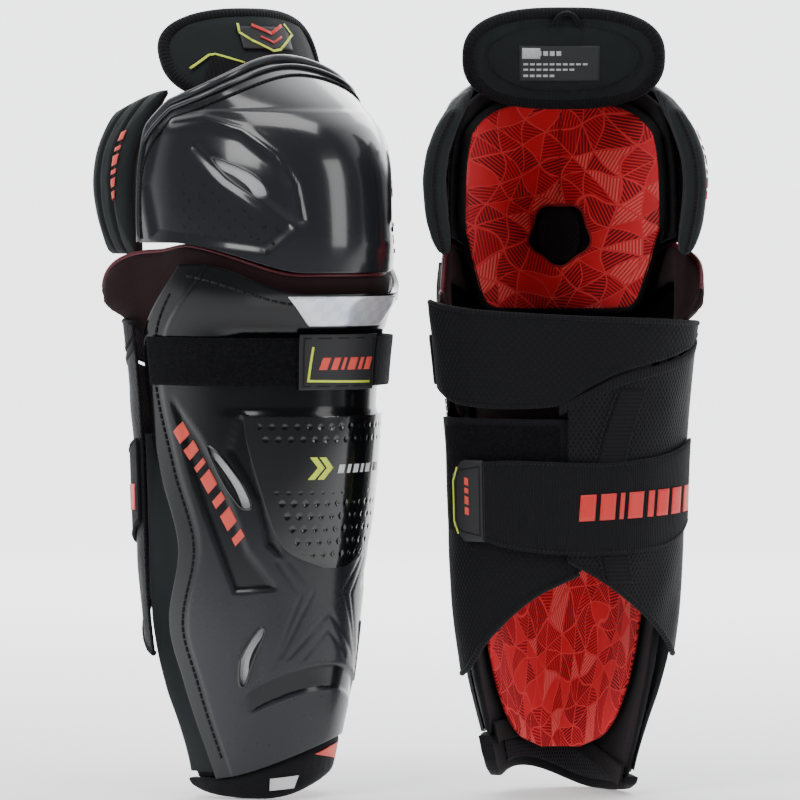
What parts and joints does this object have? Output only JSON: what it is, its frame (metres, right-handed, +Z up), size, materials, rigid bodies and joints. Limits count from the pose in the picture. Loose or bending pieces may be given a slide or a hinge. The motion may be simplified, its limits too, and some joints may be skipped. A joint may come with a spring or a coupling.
{
  "type": "hockey shin guards",
  "caption": "Standing hockey shin guards with domed knee caps, vented shin shells, quilted liners, thigh flaps and wrap-round calf straps.",
  "frame": {"origin": "centre of the footprint of the standing guards, on the floor", "axes": "+Z up the legs, +X from the guard shown from the front to the guard shown from the back, -Y towards the viewer"},
  "size_m": [0.3926, 0.197, 0.5152],
  "materials": {
    "shell_plastic": "gloss injection-moulded plastic, dimpled in places",
    "badge_chrome": "bright foil plate",
    "vent_mesh": "light woven mesh",
    "collar_fabric": "padded knit, near-black maroon",
    "black_fabric": "matte knit over foam",
    "grey_fabric": "matte coated fabric",
    "liner_fabric": "printed red brushed knit over foam",
    "loop_pile": "fuzzy loop pile",
    "elastic_webbing": "ribbed elastic webbing",
    "neoprene": "textured neoprene",
    "open_mesh": "black open mesh"
  },
  "bodies": {
    "guard_a_shin": {"guard_a_shin_shell": "shell_plastic", "guard_a_shin_panel": "shell_plastic", "guard_a_badge_plate": "badge_chrome", "guard_a_shin_vent_mesh": "vent_mesh", "guard_a_shin_collar": "collar_fabric", "guard_a_foam_carrier": "black_fabric", "guard_a_shin_liner": "liner_fabric", "guard_a_hem_sock": "black_fabric", "guard_a_front_loop_strap": "loop_pile", "guard_a_upper_band": "neoprene"},
    "guard_a_knee": {"guard_a_knee_cap": "shell_plastic", "guard_a_knee_rim": "elastic_webbing", "guard_a_knee_vent_mesh": "vent_mesh", "guard_a_bolster_lateral": "grey_fabric", "guard_a_bolster_medial": "grey_fabric", "guard_a_knee_foam": "black_fabric", "guard_a_knee_liner": "liner_fabric", "guard_a_knee_mesh": "open_mesh"},
    "guard_a_flap": {"guard_a_thigh_flap": "grey_fabric", "guard_a_flap_binding": "elastic_webbing", "guard_a_flap_patch": "black_fabric"},
    "guard_a_wrap": {"guard_a_lateral_wing": "open_mesh", "guard_a_wing_binding": "elastic_webbing"},
    "guard_a_tag": {"guard_a_side_webbing": "elastic_webbing", "guard_a_strap_tag": "elastic_webbing"},
    "guard_a_medial": {"guard_a_medial_wing": "black_fabric", "guard_a_loop_patch": "loop_pile"},
    "guard_a_strap": {"guard_a_calf_strap": "elastic_webbing", "guard_a_calf_strap_tab": "black_fabric"},
    "guard_b_shin": {"guard_b_shin_shell": "shell_plastic", "guard_b_shin_panel": "shell_plastic", "guard_b_badge_plate": "badge_chrome", "guard_b_shin_vent_mesh": "vent_mesh", "guard_b_shin_collar": "collar_fabric", "guard_b_foam_carrier": "black_fabric", "guard_b_shin_liner": "liner_fabric", "guard_b_hem_sock": "black_fabric", "guard_b_front_loop_strap": "loop_pile", "guard_b_upper_band": "neoprene"},
    "guard_b_knee": {"guard_b_knee_cap": "shell_plastic", "guard_b_knee_rim": "elastic_webbing", "guard_b_knee_vent_mesh": "vent_mesh", "guard_b_bolster_lateral": "grey_fabric", "guard_b_bolster_medial": "grey_fabric", "guard_b_knee_foam": "black_fabric", "guard_b_knee_liner": "liner_fabric", "guard_b_knee_mesh": "open_mesh"},
    "guard_b_flap": {"guard_b_thigh_flap": "grey_fabric", "guard_b_flap_binding": "elastic_webbing", "guard_b_flap_patch": "black_fabric"},
    "guard_b_wrap": {"guard_b_lateral_wing": "open_mesh", "guard_b_wing_binding": "elastic_webbing"},
    "guard_b_tag": {"guard_b_side_webbing": "elastic_webbing", "guard_b_strap_tag": "elastic_webbing"},
    "guard_b_medial": {"guard_b_medial_wing": "black_fabric", "guard_b_loop_patch": "loop_pile"},
    "guard_b_strap": {"guard_b_calf_strap": "elastic_webbing", "guard_b_calf_strap_tab": "black_fabric"}
  },
  "joints": [
    {"name": "guard_a_knee_flex", "type": "hinge", "parent": "guard_a_shin", "child": "guard_a_knee", "pos_m": [-0.11191, 0.02098, 0.346], "axis": [-0.766, -0.6428, 0], "range_deg": [0, 25]},
    {"name": "guard_a_flap_tilt", "type": "hinge", "parent": "guard_a_knee", "child": "guard_a_flap", "pos_m": [-0.09006, -0.00506, 0.458], "axis": [-0.766, -0.6428, 0], "range_deg": [-6, 15]},
    {"name": "guard_a_wrap_open", "type": "hinge", "parent": "guard_a_shin", "child": "guard_a_wrap", "pos_m": [-0.16729, -0.03593, 0.28], "axis": [0, 0, 1], "range_deg": [0, 55]},
    {"name": "guard_a_tag_peel", "type": "hinge", "parent": "guard_a_shin", "child": "guard_a_tag", "pos_m": [-0.09729, 0.05022, 0.286], "axis": [0, 0, 1], "range_deg": [0, 20]},
    {"name": "guard_a_medial_wing_swing", "type": "hinge", "parent": "guard_a_shin", "child": "guard_a_medial", "pos_m": [-0.04843, 0.06511, 0.17], "axis": [0, 0, 1], "range_deg": [-30, 0]},
    {"name": "guard_a_calf_strap_peel", "type": "hinge", "parent": "guard_a_wrap", "child": "guard_a_strap", "pos_m": [-0.17049, -0.036, 0.2], "axis": [0, 0, 1], "range_deg": [0, 60]},
    {"name": "guard_b_knee_flex", "type": "hinge", "parent": "guard_b_shin", "child": "guard_b_knee", "pos_m": [0.1068, -0.03871, 0.346], "axis": [1, 0, 0], "range_deg": [0, 25]},
    {"name": "guard_b_flap_tilt", "type": "hinge", "parent": "guard_b_knee", "child": "guard_b_flap", "pos_m": [0.1068, -0.00471, 0.458], "axis": [1, 0, 0], "range_deg": [-6, 15]},
    {"name": "guard_b_wrap_open", "type": "hinge", "parent": "guard_b_shin", "child": "guard_b_wrap", "pos_m": [0.1858, -0.03071, 0.28], "axis": [0, 0, 1], "range_deg": [0, 55]},
    {"name": "guard_b_tag_peel", "type": "hinge", "parent": "guard_b_shin", "child": "guard_b_tag", "pos_m": [0.0768, -0.05171, 0.286], "axis": [0, 0, 1], "range_deg": [0, 20]},
    {"name": "guard_b_medial_wing_swing", "type": "hinge", "parent": "guard_b_shin", "child": "guard_b_medial", "pos_m": [0.0298, -0.03171, 0.17], "axis": [0, 0, 1], "range_deg": [-30, 0]},
    {"name": "guard_b_calf_strap_peel", "type": "hinge", "parent": "guard_b_wrap", "child": "guard_b_strap", "pos_m": [0.1883, -0.03271, 0.2], "axis": [0, 0, 1], "range_deg": [0, 60]},
    {"name": "guard_b_stand", "type": "slide", "parent": "guard_a_shin", "child": "guard_b_shin", "axis": [1, 0, 0], "range_m": [0, 0.3]}
  ],
  "couplings": [
    {"joint": "guard_a_medial_wing_swing", "follows": "guard_a_wrap_open", "ratio": -0.5},
    {"joint": "guard_b_medial_wing_swing", "follows": "guard_b_wrap_open", "ratio": -0.5}
  ]
}
